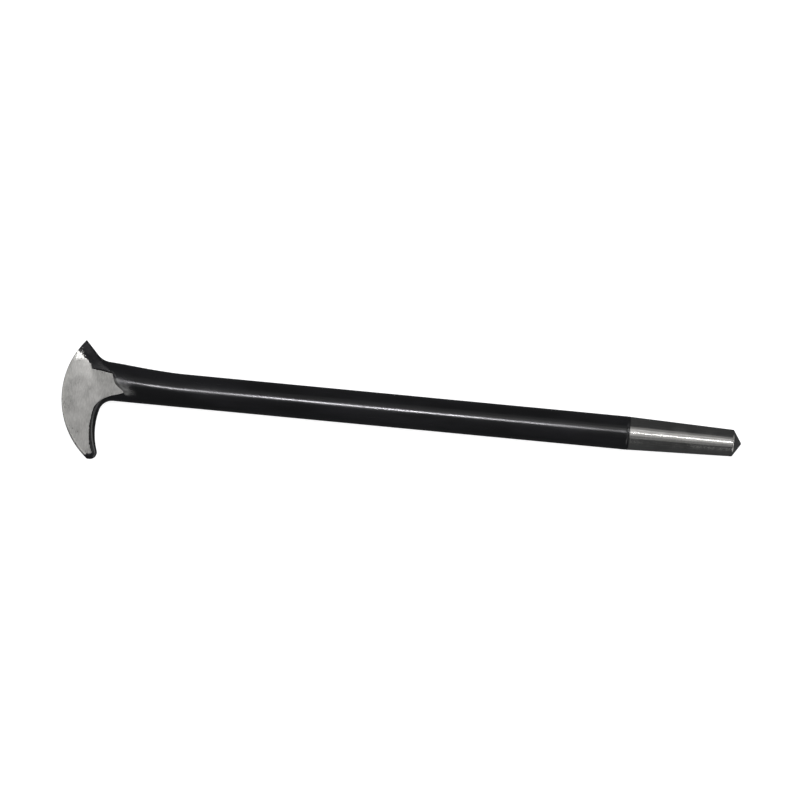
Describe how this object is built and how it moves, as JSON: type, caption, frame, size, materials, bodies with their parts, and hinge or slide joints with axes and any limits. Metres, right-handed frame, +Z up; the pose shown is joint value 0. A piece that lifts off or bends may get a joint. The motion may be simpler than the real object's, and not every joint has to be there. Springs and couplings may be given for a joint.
{
  "type": "rolling head pry bar",
  "caption": "Round steel pry bar with a crescent rocker head, long claw and short horn at one end and a tapered line-up point at the other.",
  "frame": {"origin": "middle of the bounding box at the height of the surface the round bar lies on", "axes": "+X along the bar from the rocker head to the tip of the point, +Y from the claw's side to the horn's side, +Z up, square to the plane of the head"},
  "size_m": [0.406, 0.0706, 0.02],
  "materials": {
    "ground_steel": "bare steel, ground, with fine grinding marks",
    "black_paint": "gloss black over the forged bar"
  },
  "bodies": {
    "root": {"rolling_head": "ground_steel", "shank": "black_paint", "taper_point": "ground_steel"}
  },
  "joints": []
}
